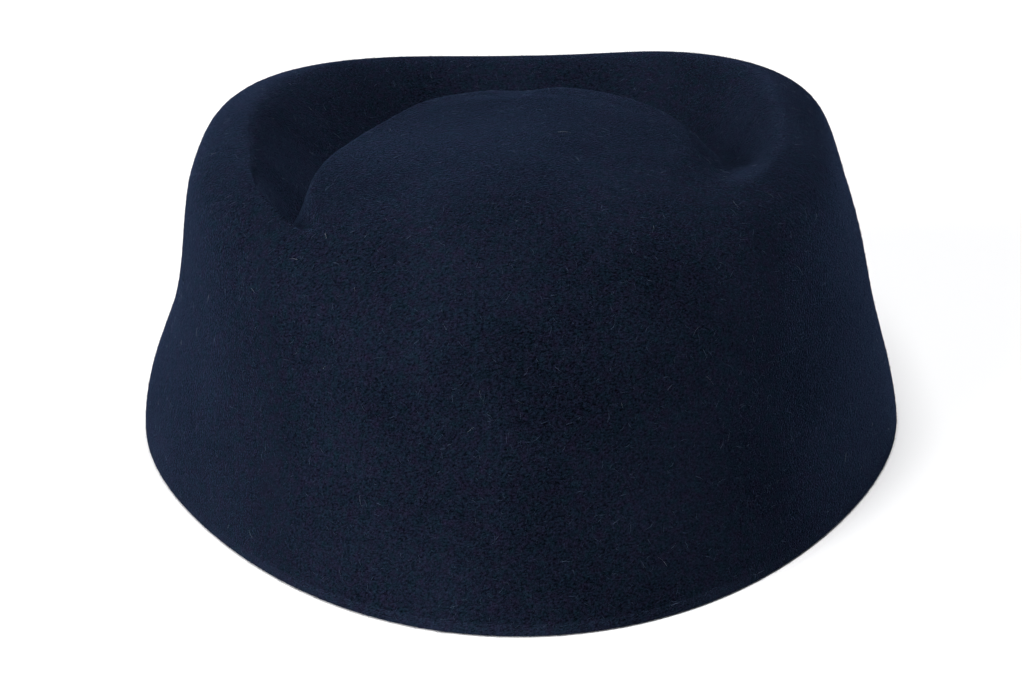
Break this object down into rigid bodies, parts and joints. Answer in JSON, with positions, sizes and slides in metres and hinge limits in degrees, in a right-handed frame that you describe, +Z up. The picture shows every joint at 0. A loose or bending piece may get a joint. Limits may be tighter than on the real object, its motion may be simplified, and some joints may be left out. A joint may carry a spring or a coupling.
{
  "type": "uniform hat",
  "caption": "Soft felt uniform hat: a brimless oval cap with a flared cut edge, a low dome in front and a pressed hollow behind it, inside a rounded ridge.",
  "frame": {"origin": "middle of the box round the cut edge, on the plane that the edge lies in", "axes": "+Z up through the crown, -Y to the front of the hat, +X to the wearer's left"},
  "size_m": [0.174, 0.202, 0.0752],
  "materials": {
    "navy_felt": "brushed wool felt with a short nap"
  },
  "bodies": {
    "root": {"felt_body": "navy_felt"}
  },
  "joints": []
}
